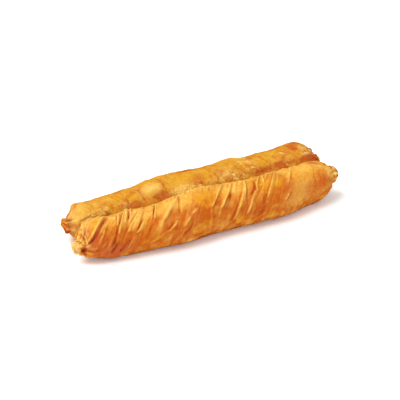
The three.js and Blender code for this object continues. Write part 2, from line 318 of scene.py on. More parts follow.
def fold_field(folds, x, phi_deg, seed):
    """height, paleness, darkness, painted shade and bright edges that a list of folds gives: the darkness is painted
    shade in the furrows and at the foot of a pleat's steep side, the shade a browner band of painted shade beside them,
    and the bright edges are partly paler sheet and partly painted highlight.

    A pleat of the outer sheet climbs slowly to a sharp edge and drops steeply behind it."""
    h, pale, dark, shade, edge = (np.zeros_like(x) for _ in range(5))
    rng = np.random.default_rng(900 + seed)
    for k, f in enumerate(folds):
        d, t, m = path_distance(f["path"], x, phi_deg, 0.05, k + seed)
        beat, start, spot = rng.uniform(0.6, 1.6), rng.uniform(0, 6.3), rng.uniform(0.25, 0.6)
        if not m.any():
            continue
        up, low = f["ends"]
        wave = 0.88 + 0.16 * np.sin(6.3 * beat * t + start)
        amp = smooth(t, 0, max(low, 0.02)) * smooth(1 - t, 0, max(up, 0.02)) * wave
        thin = smooth(t, 0, 0.5 * max(low, 0.04)) * smooth(1 - t, 0, 0.5 * max(up, 0.04)) * wave
        if f["kind"] == "crest":
            w, run = f["w"] * (0.75 + 0.25 * np.sin(np.pi * t)), f["run"]
            ds = d * f["s"]                       # positive on the steep side
            facet = np.where(ds < 0, np.clip(1 + ds / (1.25 * run), 0, 1) ** 1.4, np.clip(1 - ds / (0.9 * w + 0.5), 0, 1))
            glow = f["b"] * (0.6 + 0.5 * np.exp(-((t - spot) / 0.3) ** 2))
            h[m] += FOLD_HEIGHT * f["h"] * (0.6 * amp * facet + 0.34 * thin * np.exp(-(d / (0.8 * w + 0.1)) ** 2))
            # bright edge of the pleat: partly paler baked sheet, partly painted highlight
            edge[m] += thin * glow * np.exp(-((ds + 0.2 * w) / (0.55 * w + 0.3)) ** 2)
            pale[m] += amp * glow * 0.34 * facet * (ds < 0.3)
            # painted shade: a dark line at the foot of the steep side, and a browner band of painted shade beside it
            dark[m] += thin * 0.42 * f["b"] * np.exp(-((ds - 0.75 - 0.75 * w) / 0.5) ** 2)
            shade[m] += amp * 0.3 * f["b"] * np.exp(-((ds - 1.2 - w) / 1.3) ** 2)
        else:
            g = f["g"]
            h[m] -= FURROW_DEPTH * f["v"] * (0.6 * amp + 0.4 * thin) * np.exp(-(d / (1.1 * g)) ** 2)
            # painted shade: dark along the furrow and browner around it
            dark[m] += f["d"] * (0.9 * thin * np.exp(-(d / (0.65 * g + 0.08)) ** 2) + 0.25 * amp * np.exp(-(d / (2.0 * g)) ** 2))
            shade[m] += amp * f["d"] * 0.6 * np.exp(-(d / 2.4) ** 2)
    return h, pale, dark, shade, edge


def to_rim(folds, rim=114.0):
    """carry the folds that reach the top of a roll on to its inner rim"""
    out = []
    for f in folds:
        (ax, af), (bx, bf) = f["path"][0], f["path"][1]
        if 70 <= af < rim - 4:
            reach = min(rim - af, 28.0)
            slope = (ax - bx) / max(4.0, af - bf)
            old = af - f["path"][-1][1]
            f = dict(f, path=[(ax + 0.8 * slope * reach, af + reach)] + f["path"], ends=(max(0.05, 0.5 * (f["ends"][0] * old + reach) / (old + reach)), f["ends"][1] * old / (old + reach)))
        out.append(f)
    return out


def edge_field(edges, x, phi_deg, seed):
    """steps at the edges of the outer sheet: height, and a line of painted shade in the step's corner"""
    h, line = np.zeros_like(x), np.zeros_like(x)
    for k, (path, step, s) in enumerate(edges):
        d, t, m = path_distance(path, x, phi_deg, 0.45, k * 1.7 + seed)
        amp = smooth(t, 0, 0.25) * smooth(1 - t, 0, 0.25)
        ds = d * s
        h[m] += amp * step * smooth(ds, -0.3, 0.3) * np.exp(-np.maximum(ds, 0) / 7)
        line[m] += amp * np.exp(-((ds + 0.45) / 0.5) ** 2) * min(1.0, step * 1.6)
    return h, line


def slant_path(x, f, reach, k):
    """points of a fold that leans by k as seen from in front and above"""
    c0, s0 = math.cos(math.radians(f)), math.sin(math.radians(f))
    path = []
    for j in (0.5, 0.25, 0.0, -0.25, -0.5):
        a = math.radians(f + j * reach)
        path.append((x + 17.4 * ((0.4435 * k + 0.4617) * (c0 - math.cos(a)) + 0.866 * k * (math.sin(a) - s0)) / (0.887 - 0.2309 * k), f + j * reach))
    return path


def chance_folds(seed, count, x0, x1, phi0, phi1, hmax, bright, gloom, spans=(14, 55), lean=(0.15, 0.5)):
    """small pleats and furrows at seeded places"""
    rng = np.random.default_rng(seed)
    out = []
    for _ in range(count):
        path = slant_path(rng.uniform(x0, x1), rng.uniform(phi0, phi1), rng.uniform(*spans), rng.uniform(*lean))
        k = rng.uniform(0.25, 1.0) ** 1.5
        s = rng.choice([-1, 1])
        w = rng.uniform(0.35, 0.75)
        out.append(crest(path, hmax * k, w, s, rng.uniform(1.2, 3.5), bright * k * rng.uniform(0.4, 1.0), (0.45, 0.35)))
        if gloom > 0:
            away = s * (w + rng.uniform(0.5, 1.4))
            out.append(crease([(q[0] + away, q[1]) for q in path], hmax * k * rng.uniform(0.2, 0.7), rng.uniform(0.4, 0.7), gloom * k * rng.uniform(0.3, 1.0), (0.45, 0.4)))
    return out


def gathers(seed, count, phi_deg, w, radius, start):
    """creases that run lengthwise into a tail: height, paleness, darkness"""
    rng = np.random.default_rng(seed)
    h, pale, dark = np.zeros_like(w), np.zeros_like(w), np.zeros_like(w)
    grow = smooth(w, start, min(1.0, start + 0.45))
    for k in range(count):
        f0 = 360.0 * (k + rng.uniform(-0.35, 0.35)) / count
        lean = rng.uniform(-20, 20)
        d = (phi_deg - f0 + lean * (1 - w) + 180) % 360 - 180
        d = np.radians(d) * radius
        wd, a, s = rng.uniform(0.6, 1.2), rng.uniform(0.4, 1.1), rng.choice([-1, 1])
        ridge = np.exp(-(np.abs(d) / wd) ** 1.2)
        furrow = np.exp(-((d * s - 1.5 * wd) / (0.7 * wd)) ** 2)
        h += a * grow * (1.1 * ridge - 0.9 * furrow)
        pale += 0.7 * a * grow * ridge
        dark += 0.6 * a * grow * furrow
    return h, pale, dark


def blobs(items, x, phi_deg):
    """sum of soft patches: (x, phi, half length, half angle, strength)"""
    out = np.zeros_like(x)
    for bx, bf, sx, sf, k in items:
        out += k * np.exp(-((x - bx) / sx) ** 2 - ((phi_deg - bf) / sf) ** 2)
    return out


BULGE_FRONT = [(-68, -44, 9, 24, -1.7), (-20, -42, 7, 20, -0.7), (2, -42, 7, 20, -0.6), (17, -44, 6, 20, -0.8), (90, -40, 12, 24, -1.3), (-105.2, -3, 2.6, 5, 0.8), (-93, 101, 5, 15, 1.5), (-81, 105, 4, 11, -0.9), (103.5, 95, 5, 16, -1.6), (-89.8, 85, 2, 5, 0.7), (-60, 15, 12, 30, 0.6), (-20, 75, 16, 30, 0.6), (5, 10, 14, 30, -0.5), (84, 60, 14, 40, 0.6), (60, 50, 8, 30, -0.5), (-98, 60, 8, 30, 0.4),
               (-8, 152, 18, 24, 2.2), (20, 150, 14, 20, 0.8), (-111.2, 0, 1.9, 24, -3.0), (-107.5, -45, 3.0, 22, 2.0), (-109, -72, 3, 22, 1.5), (-110.5, 95, 4, 34, -1.4), (-115, 80, 2.2, 28, 0.8), (-107.8, 24, 1.6, 9, 0.8)]
BULGE_BACK = [(-100.9, 58, 3.0, 17, 1.5), (-105.6, 44, 1.8, 16, -0.7), (98.5, 93, 2.2, 8, 0.5), (101.6, 108, 2.0, 7, 0.6), (105.5, 99, 1.9, 8, 0.7), (109.2, 95, 1.8, 9, 0.7), (103.5, 97, 1.1, 6, -0.7), (107.4, 97, 1.0, 7, -0.7), (106.5, 96, 4.5, 18, -1.2),
              (42, 68, 6, 24, 1.3), (23.5, 66, 6, 24, -1.0), (-46, 66, 5, 24, -0.8), (-30.2, 64, 3.2, 22, -0.9), (-88, 72, 5, 22, -0.6), (78.7, 66, 6, 22, -0.6),
              (-38, 108, 9, 18, 1.4), (-98, 95, 7, 28, 0.8), (-31, 138, 6, 14, -1.0), (-56, 140, 7, 12, -0.8), (-75, 100, 10, 30, 0.4),
              (58, 142, 9, 10, -0.9), (77, 138, 8, 10, -0.9), (36, 110, 10, 25, 0.5), (10, 110, 14, 25, 0.3), (96, 84, 9, 28, 1.0), (-28, 72, 13, 30, 1.3), (62, 78, 14, 26, -0.6),
              (10, 72, 8, 26, -0.5), (31, 74, 6, 26, 0.5), (-4, 150, 17, 22, 2.6), (-88, 76, 7, 24, -0.4), (-78, 130, 3, 7, 1.2), (-79.5, 148, 4, 6, -1.5),
              (-105.5, 68, 4.5, 50, -3.0), (-110.5, 215, 3, 35, 1.0), (-98.5, 78, 4, 20, 0.6)]
# The patches near x 108 to 113 lighten the front roll's right end, which faces away from the lamps: painted light.
PALE_FRONT = [(113, 50, 4, 40, 0.35), (-103, 102, 5, 14, 0.25), (98.4, 94, 4.0, 9, 0.7), (101.8, 80, 3.0, 10, 0.6), (-24, 76, 9, 20, 0.25), (-35, 88, 8, 18, 0.25), (-84, 91, 7, 15, 0.35), (-60, 101, 7, 9, 0.35), (15, 80, 9, 12, 0.25), (-104.8, 3, 2.0, 6, 0.7), (-92.5, 72, 4, 9, 0.5), (-72, 76, 4, 8, 0.35), (-51, 68, 5, 10, 0.3), (10, 40, 4, 12, 0.35), (-66, 62, 8, 10, 0.3), (-78, 92, 14, 14, 0.25), (-60, 102, 12, 9, 0.3), (-97, 60, 5, 20, 0.2), (108, 0, 6, 14, 0.35), (-16, 113, 13, 9, 0.75), (88, 82, 11, 26, 0.5), (98, 100, 10, 16, 0.2), (-40, 92, 22, 18, 0.3), (10, 96, 26, 14, 0.25), (55, 98, 30, 12, 0.2), (-74, 94, 12, 18, 0.5), (-78, 70, 10, 14, 0.3), (-55, 70, 9, 13, 0.4),
              (-36, 72, 9, 16, 0.35), (18, 74, 12, 15, 0.45), (75, 88, 14, 18, 0.35), (111, 52, 6, 24, 0.6), (-107, 88, 6, 34, 0.25), (75, -5, 14, 18, 0.25), (-68, 74, 9, 16, 0.3), (-58, 99, 11, 13, 0.35), (-84, 99, 8, 12, 0.2), (-24, -40, 7, 10, 0.7), (2, 34, 12, 16, 0.15), (25, 64, 8, 13, 0.25), (72, -40, 9, 12, 0.35), (71, 101, 8, 10, 0.25), (109, 50, 6, 24, 0.6), (97, -4, 8, 14, 0.3), (4, -30, 14, 14, 0.2), (-115.8, 75, 2.4, 60, 0.9),
              (-69, 48, 8, 15, 0.3), (28, 101, 12, 12, 0.5), (24, 42, 7, 14, 0.2), (69, 14, 12, 22, 0.4), (82, 35, 11, 22, 0.35), (-26, 40, 9, 16, 0.2), (-116, -20, 2, 30, 0.6)]
PALE_BACK = [(-104.5, 55, 4, 26, 0.65), (-105.5, 115, 4, 36, 0.5), (106, 100, 5, 16, 0.3), (-109, 205, 4, 30, 0.4), (-107, 172, 2.4, 20, 0.45), (-84, 136, 8, 9, 0.75), (-82, 101, 12, 14, 0.25), (-60, 136, 7, 7, 0.3), (48, 77, 6, 8, 0.8), (-38, 112, 8, 15, 0.85), (-99, 100, 7, 24, 0.35), (-14, 141, 11, 13, 1.0), (26, 122, 13, 16, 0.28), (-102, 136, 8, 14, 0.5), (110, 118, 4, 8, 0.5), (15, 137, 6, 9, 0.2), (32, 136, 11, 9, 0.25),
             (100, 107, 4, 7, 0.4), (102, 124, 3, 3.5, 0.7), (50, 100, 8, 10, 0.3), (-93, 134, 6, 9, 0.4)]
BROWN_FRONT = [(49, 98, 4, 6, 0.5), (-108, 118, 4, 8, 0.7), (96, -40, 8, 10, 0.6), (-70, -22, 7, 10, 0.8), (-92, -25, 12, 18, 0.5), (-94, -28, 11, 20, 0.6), (-109, 21, 5, 12, 0.6), (-103.5, 28, 4, 9, 0.4), (-40, 70, 4.5, 16, 0.6), (-104, 76, 3.5, 9, 0.35), (88, 24, 8, 14, 0.25), (99, 58, 6, 16, 0.2), (-90, -20, 9, 14, 0.4), (-36, -8, 8, 16, 0.35), (97, 102, 4, 9, 0.6), (-103, 22, 10, 34, 0.7), (-106, 34, 5, 20, 0.5), (-95, -18, 9, 24, 0.3), (-84, -8, 10, 25, 0.7), (-72, 8, 9, 22, 0.4), (-44, 30, 8, 25, 0.25), (-48, 50, 5, 16, 0.35), (-30, 28, 10, 22, 0.15), (-14, 52, 12, 20, 0.3),
               (-36, -18, 9, 12, 0.3), (-12, -20, 9, 12, 0.6), (-6, 26, 12, 20, 0.1), (38, 20, 10, 25, 0.4), (37, 70, 6, 16, 0.1), (104, 32, 6, 42, 0.28), (44, 2, 9, 18, 0.3), (64, 58, 8, 26, 0.45), (88, 40, 8, 18, 0.2),
               (50, 46, 7, 20, 0.2), (50, 104, 9, 12, 0.7), (61, 90, 7, 14, 0.45), (84, -18, 8, 10, 0.3), (100, 93, 4.5, 13, 0.8), (106, -8, 6, 14, 0.2), (114, 10, 4, 40, 0.2), (-102, -2, 2.4, 6, 0.9), (2, 102, 6, 10, 0.25)]
# Patches near x -55, -30, 59 and 77 at phi 135 to 140 sit in dents on the side facing the front roll: partly baked
# colour, partly painted shade.
BROWN_BACK = [(-104.4, 163, 2.8, 12, 0.6), (-107, 150, 2.5, 12, 0.2), (-99, 76, 4, 8, 0.5), (-35, 135, 5, 8, 0.9), (-94, 138, 6, 6, 0.5), (-29, 109, 8, 10, 0.25), (38, 122, 6, 6, 0.3), (87, 137, 4, 7, 0.5), (-98, 84, 5, 9, 0.35), (108, 128, 6, 12, 0.7), (-30, 138, 7, 12, 0.95), (-55, 138, 8, 12, 0.75), (-66, 130, 8, 10, 0.45), (-80, 127, 8, 12, 0.4), (3, 126, 10, 14, 0.45), (59, 139, 9, 10, 0.95), (77, 136, 8, 10, 0.95), (32, 146, 8, 7, 0.4),
              (93, 103, 3, 8, 0.5), (98, 138, 9, 12, 0.9), (105, 130, 6, 10, 0.9), (112, 134, 5, 14, 1.3), (106, 136, 7, 10, 0.5), (-104, 60, 5, 40, 0.3), (93, 84, 9, 14, 0.45), (-84, 100, 10, 22, 0.2), (12, 106, 12, 16, 0.2), (-6, 76, 12, 10, 0.5), (-48, 101, 6, 13, 1.0), (0, 76, 6, 8, 0.7), (84, 112, 8, 12, 0.55), (97, 88, 8, 13, 0.85), (24, 118, 8, 9, 0.7), (-1, 132, 8, 9, 0.4),
              (2, 135, 6, 8, 0.1), (84, 104, 6, 9, 0.4), (-79.5, 148, 4, 6, 0.4), (-106, 122, 3, 18, 0.6), (-109, 105, 3, 50, 0.5)]
RED_FRONT = [(-103.5, 20, 3.5, 8, 0.4), (98, 101, 4, 7, 0.4), (-105.5, 33, 4, 9, 0.45), (-110.8, 0, 1.7, 24, 4.0), (-98.4, 46, 2.2, 5, 0.5), (-87.2, 0, 0.9, 6, 0.9), (-88.9, -11, 0.9, 6, 1.1), (-90.6, -20, 0.9, 5, 0.9), (-82.2, -15, 1.0, 5, 0.9), (-83.8, -20.5, 1.0, 4, 0.8), (-88, -29, 6, 8, 0.45), (-99.5, 57, 1.2, 4, 0.4), (-101.6, 51.5, 1.2, 4, 0.7), (-103.4, 46.5, 1.1, 4, 0.9), (-104.5, 32, 3, 7, 0.4), (-101.5, -6, 1.6, 5, 1.0), (-105.7, 79, 1.0, 4, 0.8), (-108, 90, 1.0, 5, 0.6), (-102.5, 46, 3.4, 5, 0.8), (38, 4, 6, 10, 0.3), (36, 66, 2, 8, 0.3), (-86, -12, 6, 14, 0.3), (118, 5, 1.2, 50, 1.8), (112.5, 22, 1.2, 8, 0.9), (101, 97, 3, 7, 0.3), (97, 101, 3.5, 8, 0.3)]
RED_BACK = [(-104.2, 160, 2.2, 9, 0.4), (-110.5, 212, 2.2, 12, 1.3), (-30, 140, 5, 7, 0.45), (114.5, 138, 2.5, 16, 0.4), (109.5, 139, 2.6, 8, 0.5), (93, 104, 2.5, 7, 0.3), (-111.6, 190, 1.6, 20, 0.7), (-109.0, 98, 1.4, 9, 0.5), (-108.0, 120, 1.4, 8, 0.5), (103, 146, 6, 10, 0.4)]
# where the sheet has broken into small flakes
CRUMBLY_FRONT = [(-12, 118, 17, 12, 0.9), (-101, 114, 9, 12, 0.9), (-70, 116, 8, 9, 0.6)]
CRUMBLY_BACK = [(36, 131, 13, 15, 0.9), (-11, 140, 13, 13, 1.0), (106, 112, 7, 14, 0.6), (-98, 138, 6, 7, 0.8), (-90, 135, 6, 7, 0.75), (-84, 129, 5, 6, 0.6), (10, 142, 12, 9, 0.7), (70, 128, 22, 9, 0.4), (-60, 128, 16, 9, 0.4)]


GOLD, PALE, BROWN, RED = np.array([0.560, 0.245, 0.018]), np.array([0.69, 0.410, 0.086]), np.array([0.412, 0.090, 0.009]), np.array([0.330, 0.041, 0.006])
CREAM, CREST, ROSE, FLAME = np.array([0.74, 0.52, 0.19]), np.array([0.73, 0.44, 0.092]), np.array([0.40, 0.085, 0.022]), np.array([0.52, 0.068, 0.014])
# dark red-brown for painted shade at the bottom of deep creases and in the tail's hole
DEEP_SHADE = np.array([0.215, 0.018, 0.003])


def mesh_object(name, verts, faces, material, colour=None, smooth_faces=True):
    me = bpy.data.meshes.new(name)
    me.vertices.add(len(verts))
    me.vertices.foreach_set("co", np.ascontiguousarray(verts, np.float32).ravel())
    n = faces.shape[1]
    me.loops.add(faces.size)
    me.loops.foreach_set("vertex_index", np.ascontiguousarray(faces, np.int32).ravel())
    me.polygons.add(len(faces))
    me.polygons.foreach_set("loop_start", np.arange(0, faces.size, n, dtype=np.int32))
    me.polygons.foreach_set("loop_total", np.full(len(faces), n, np.int32))
    me.polygons.foreach_set("use_smooth", np.full(len(faces), smooth_faces))
    me.update(calc_edges=True)
    me.validate()
    if colour is not None:
        at = me.color_attributes.new("crust", "FLOAT_COLOR", "POINT")
        rgba = np.ones((len(verts), 4), np.float32)
        rgba[:, :3] = colour
        at.data.foreach_set("color", rgba.ravel())
    ob = bpy.data.objects.new(name, me)
    bpy.context.scene.collection.objects.link(ob)
    me.materials.append(material)
    return ob


# ---------------------------------------------------------------- crust material
def crust(name, shine=0.0):
    m = bpy.data.materials.new(name)
    m.use_nodes = True
    t = m.node_tree
    t.nodes.clear()

    def new(kind, **kw):
        n = t.nodes.new(kind)
        for k, v in kw.items():
            setattr(n, k, v)
        return n

    out = new("ShaderNodeOutputMaterial")
    bsdf = new("ShaderNodeBsdfPrincipled")
    col = new("ShaderNodeVertexColor", layer_name="crust")
    coord = new("ShaderNodeTexCoord")
    # fine mottling of the baked sheet
    n1 = new("ShaderNodeTexNoise")
    n1.inputs["Scale"].default_value = 400
    n1.inputs["Detail"].default_value = 4
    n1.inputs["Roughness"].default_value = 0.6
    r1 = new("ShaderNodeMapRange")
    r1.inputs["From Min"].default_value, r1.inputs["From Max"].default_value = 0.3, 0.7
    r1.inputs["To Min"].default_value, r1.inputs["To Max"].default_value = 0.77, 1.17
    mul = new("ShaderNodeMix", data_type="RGBA", blend_type="MULTIPLY")
    mul.inputs["Factor"].default_value = 1.0
    grey = new("ShaderNodeCombineColor")
    # bubbles and crackle below the size of the mesh
    n2 = new("ShaderNodeTexNoise")
    n2.inputs["Scale"].default_value = 900
    n2.inputs["Detail"].default_value = 3
    bump = new("ShaderNodeBump")
    bump.inputs["Strength"].default_value = 0.6
    bump.inputs["Distance"].default_value = 0.0004
    link = t.links.new
    link(coord.outputs["Object"], n1.inputs["Vector"])
    link(coord.outputs["Object"], n2.inputs["Vector"])
    link(n1.outputs["Fac"], r1.inputs["Value"])
    grey.inputs["Red"].default_value = 1.0
    link(r1.outputs["Result"], grey.inputs["Green"])
    link(r1.outputs["Result"], grey.inputs["Blue"])
    link(col.outputs["Color"], mul.inputs["A"])
    link(grey.outputs["Color"], mul.inputs["B"])
    link(mul.outputs["Result"], bsdf.inputs["Base Color"])
    link(n2.outputs["Fac"], bump.inputs["Height"])
    link(bump.outputs["Normal"], bsdf.inputs["Normal"])
    bsdf.inputs["Roughness"].default_value = 0.4
    bsdf.inputs["Specular IOR Level"].default_value = shine
    bsdf.inputs["Specular Tint"].default_value = (1.0, 0.78, 0.35, 1)
    link(bsdf.outputs["BSDF"], out.inputs["Surface"])
    return m


# ---------------------------------------------------------------- a roll in full
def build_roll(spec, name, node, folds, edges, bulge, pale_items, brown_items, red_items, crumbly):
    nu, nt = spec["grid"]
    t = np.linspace(0, 1, nu)
    t = 0.72 * t + 0.28 * (0.5 - 0.5 * np.cos(np.pi * t))
    # the twisted core ends a little inside the ruffle of its tail
    L, R = spec["left"]["tip"] + spec["short"][0], spec["right"]["tip"] - spec["short"][1]
    u = (L + (R - L) * t)[:, None]
    # more columns where the roll is seen best
    parts, left = [], nt
    for k, (f0, f1, share) in enumerate(spec["columns"]):
        m = left if k == len(spec["columns"]) - 1 else int(round(nt * share))
        parts.append(np.linspace(f0, f1, m, endpoint=False))
        left -= m
    phi = np.radians(np.concatenate(parts))[None, :]
    fade = smooth(np.minimum(u - L, R - u), 2, 44)
    x = u + spec["twist"] * run(phi) * fade
    phi = phi + 0 * x
    out, z, w = plain(spec, x, phi)
    P = np.stack([x, spec["side"] * out, z], -1)

    # normals of the plain surface
    du = np.gradient(P, axis=0)
    dv = np.roll(P, -1, 1) - np.roll(P, 1, 1)
    N = np.cross(dv, du) * spec["side"]
    N /= np.maximum(np.linalg.norm(N, axis=-1, keepdims=True), 1e-9)
    if ((P - P.mean(1, keepdims=True)) * N).sum(-1).mean() < 0:
        N = -N

    deg = np.degrees(phi)
    seed = spec["seed"]
    h, pale, dark, shade, crest = fold_field(folds, x, deg, seed)
    eh, line = edge_field(edges, x, deg, seed)
    leftend = x < 0
    rad = np.linalg.norm(P - P.mean(1, keepdims=True), axis=-1)
    for sel, k in ((leftend, 0), (~leftend, 1)):
        gh, gp, gd = gathers(seed * 10 + k, spec["gathers"][k][0], deg, np.where(sel, w, 0), rad, spec["gathers"][k][1])
        h, pale, dark = h + gh, pale + gp, dark + gd
    pale = np.clip(pale, 0, 1.2)
    dark = np.clip(dark, 0, 1.5)
    crest = np.clip(crest, 0, 1.0)

    # streaks of the stretched sheet, drawn out along the folds
    S = np.stack([u + 0 * x, deg * 0.3, 0 * x], -1)
    streak = fbm(S * np.array([1.0, 0.12, 1.0]), 1.7, seed + 31, 2)
    streak2 = fbm(S * np.array([1.0, 0.2, 1.0]), 5.0, seed + 33, 2)
    streak3 = fbm(S * np.array([1.0, 0.25, 1.0]), 11.0, seed + 35, 2)
    # the back roll's seen side is patchy rather than streaky
    drawn = spec["drawn"][0] + (spec["drawn"][1] - spec["drawn"][0]) * smooth(deg, 55, 85)
    drawn = drawn * (1 - spec["calm"] * smooth(x, 60, 82)) * (1 - np.clip(blobs(spec["smooth"], x, deg), 0, 1))
    streak, streak2, streak3 = streak * drawn * drawn, streak2 * drawn, streak3 * drawn
    crumb = np.clip(blobs(crumbly, x, deg), 0, 1) * smooth(fbm(P, 5, seed + 40), -0.55, 0.15)
    grain = fbm(P, 1.9, seed + 5, 2)
    fine = fbm(P, 0.9, seed + 6, 2)
    torn = P + 0.9 * np.stack([fbm(P, 3, seed + 46), fbm(P, 3, seed + 47), fbm(P, 3, seed + 48)], -1)
    plate, rift = cells(torn * np.array([0.62, 1.0, 1.0]), 1.9, seed)
    rift = np.exp(-(rift / 0.3) ** 2)
    lump, gap = cells(torn * np.array([0.8, 1.0, 1.0]) + 2.0 * np.stack([noise(P, 6, seed + 71), noise(P, 6, seed + 72), noise(P, 6, seed + 73)], -1), 3.6, seed + 2)
    gap = np.exp(-(gap / 0.55) ** 2)
    lumpy = np.clip(blobs(spec["lumpy"], x, deg), 0, 1)

    h = h + eh + blobs(bulge, x, deg)
    h = h + 0.7 * fbm(P, 20, seed) + 0.35 * fbm(P, 8, seed + 3) + 0.16 * grain + 0.07 * fine + 0.17 * streak + 0.3 * streak2 + 0.5 * streak3
    # ends are more crumpled
    knot = smooth(w, 0.75, 1.0)
    h = h + w ** 1.5 * 0.8 * fbm(P, 6, seed + 9) + knot * np.where(leftend, *spec["knots"]) * (1.6 * (0.35 - np.abs(fbm(P, 4.5, seed + 10))) + 0.7 * fbm(P, 2.2, seed + 12))
    h = h + np.maximum(crumb, 0.25 * knot) * (0.5 * plate - 0.5 * rift + 0.3 * fbm(P, 1.7, seed + 42))
    h = h + lumpy * (0.75 * lump - 0.8 * gap)
    # lower edge uneven, underside flat
    h = h + (0.9 * fbm(P, 16, seed + 13) + 0.5 * fbm(P, 6, seed + 14)) * smooth(-deg, 18, 48)
    under = smooth(np.sin(phi), -0.975, -0.76)
    h = h * (0.15 + 0.85 * under)

    P = P + N * h[..., None]
    out = spec["side"] * P[..., 1]
    joined = np.exp(-((deg - 180) / 26) ** 4) * (1 - smooth(w, 0.05, 0.45))
    P[..., 1] = spec["side"] * np.maximum(GAP, GAP + (out - GAP) * (1 - joined))
    P[..., 2] = np.maximum(P[..., 2], 0.0)

    # ---- colour
    ragged = deg + 15 * streak2 + 13 * fbm(P, 10, seed + 51) + 4.0 * h
    low = smooth(-ragged, -86, -26) * 0.80 + smooth(-deg, 0, 45) * 0.08
    low = np.where(deg > 180, 0.75, low)
    # browner on the side towards the other roll: partly baked colour, partly painted shade in the groove between the
    # rolls
    inner = smooth(deg, 122, 165) * 0.4
    # brown holds the folds' painted shade (shade) and is browner in hollows and paler on raised parts
    brown = low + inner + blobs(brown_items, x, deg) + 0.3 * fbm(P, 13, seed + 20) + 0.4 * fbm(P, 4.5, seed + 21) + 0.25 * grain + 0.2 * fine + 0.25 * streak + 0.25 * streak2 - 0.2 * h + 0.5 * shade
    patchy = (1 - drawn) * smooth(deg, 60, 85) + (0.7 * smooth(x, 62, 84) if spec["side"] < 0 else 0)
    # darker in the cracks between flakes (rift) and the gaps between lumps (gap): painted shade
    brown = brown + crumb * (0.4 * plate + 0.6 * rift) + patchy * (0.22 * plate + 0.2 * rift)
    brown = brown + lumpy * (0.35 * lump + 0.45 * gap)
    brown = brown + 0.6 * fbm(P, 9, seed + 28) * smooth(-deg, -35, 15) + 0.8 * fbm(P, 4.5, seed + 38) * smooth(-deg, -10, 20) + 0.9 * fbm(P, 11, seed + 58) * smooth(-deg, 5, 35)
    brown = brown + spec["blotch"] * smooth(deg, 55, 80) * (fbm(P, 7, seed + 60) + 0.6 * fbm(S * np.array([1.0, 0.5, 1.0]), 4.0, seed + 61))
    rim = spec["rim"] * np.exp(-((deg - 114) / 10) ** 2) * (0.5 + 0.9 * fbm(P, 7, seed + 26))
    pl = blobs(pale_items, x, deg) + pale + 0.22 * fbm(P, 8, seed + 22) + 0.2 * streak + 0.16 * fine + 0.7 * crumb * smooth(-plate, 0.0, 0.7) + 0.15 * patchy * fine + rim + 0.5 * np.maximum(0, fbm(P, 6, seed + 39)) * smooth(-deg, -10, 20)
    pl = pl + 0.55 * lumpy * smooth(-lump, 0.0, 0.7)
    # red-brown: baked spots from the tables and darker tips, plus painted shade in creases and furrows (dark), in the
    # corners of sheet edges (line), in gaps between lumps and in cracks between flakes
    rd = 0.28 * lumpy * gap + blobs(red_items, x, deg) * (0.75 + 0.6 * fbm(P, 3, seed + 27)) + 0.8 * dark * (0.75 + 0.6 * fbm(P, 7, seed + 29)) + 0.65 * line + 0.5 * w ** 3 * smooth(fbm(P, 5, seed + 24), -0.1, 0.5) + 0.6 * crumb * rift * smooth(fbm(P, 4, seed + 30), -0.5, 0.4)
    c = mix(np.broadcast_to(GOLD, P.shape), BROWN, brown)
    c = mix(c, PALE, pl) * np.array(spec["tint"])
    c = mix(c, RED, rd)
    c = mix(c, ROSE, blobs(spec["rose"], x, deg) * (0.8 + 0.5 * fbm(P, 4, seed + 36)))
    c = mix(c, FLAME, blobs(spec["flame"], x, deg) * (0.8 + 0.5 * fbm(P, 3, seed + 34)))
    c = mix(c, CREAM, blobs(spec["cream"], x, deg) * (0.8 + 0.6 * fbm(P, 3, seed + 37)))
    # bright fold edges: partly paler baked sheet, partly painted highlight
    c = mix(c, CREST, 0.6 * crest)
    # painted shade at the bottom of deep creases and in the hole of the front roll's left tail
    c = mix(c, DEEP_SHADE, 0.9 * blobs(spec["deep"], x, deg))
    c = mix(c, CREAM, 0.45 * crumb * smooth(-plate, 0.4, 0.8))

    V = P.reshape(-1, 3)
    C = c.reshape(-1, 3)
    i, j = np.meshgrid(np.arange(nu - 1), np.arange(nt), indexing="ij")
    jj = (j + 1) % nt
    quads = np.stack([i * nt + j, (i + 1) * nt + j, (i + 1) * nt + jj, i * nt + jj], -1).reshape(-1, 4)
    # tips: rings that close in a twist, domed and creased
    caps = []
    for ring, tip in zip((0, nu - 1), spec["tips"]):
        sgn = -1 if ring == 0 else 1
        turn = (lambda f: f) if ring == 0 else (lambda f: f[:, ::-1])
        rim, mid, ang = P[ring] - P[ring].mean(0), P[ring].mean(0), phi[ring]
        outer = ring * nt + np.arange(nt)
        for f in (0.88, 0.75, 0.62, 0.49, 0.36, 0.23, 0.1):
            a = 0.9 * sgn * (1 - f)
            q = mid + f * np.stack([rim[:, 0], rim[:, 1] * math.cos(a) - rim[:, 2] * math.sin(a), rim[:, 1] * math.sin(a) + rim[:, 2] * math.cos(a)], -1)
            fold = np.cos(6 * ang + 3.0 * (1 - f) + seed) + 0.6 * np.cos(11 * ang - 2.0 * f)
            q[:, 0] += sgn * (tip["dome"] * (1 - f ** 2) + 0.9 * f * (1 - f) * fold + 0.7 * (1 - f) * fbm(q, 2.5, seed + 81))
            col = mix(mix(np.broadcast_to(tip["tones"][0], q.shape), tip["tones"][1], 0.5 + 1.1 * fbm(q, 2.6, seed + 82) - 0.2 * fold), tip["tones"][2], smooth(fbm(q, 3.2, seed + 83) - 0.25 * fold, 0.1, 0.55))
            for at, half, k in tip["red"]:
                col = mix(col, RED, k * smooth(f + 0 * ang, 0.2, 0.6) * np.exp(-(((np.degrees(ang) - at + 180) % 360 - 180) / half) ** 2))
            col = mix(c[ring], col, np.full(nt, min(1.0, (1 - f) * 4)))
            inner = len(V) + np.arange(nt)
            V, C = np.vstack([V, q]), np.vstack([C, col])
            o2, i2 = np.roll(outer, -1), np.roll(inner, -1)
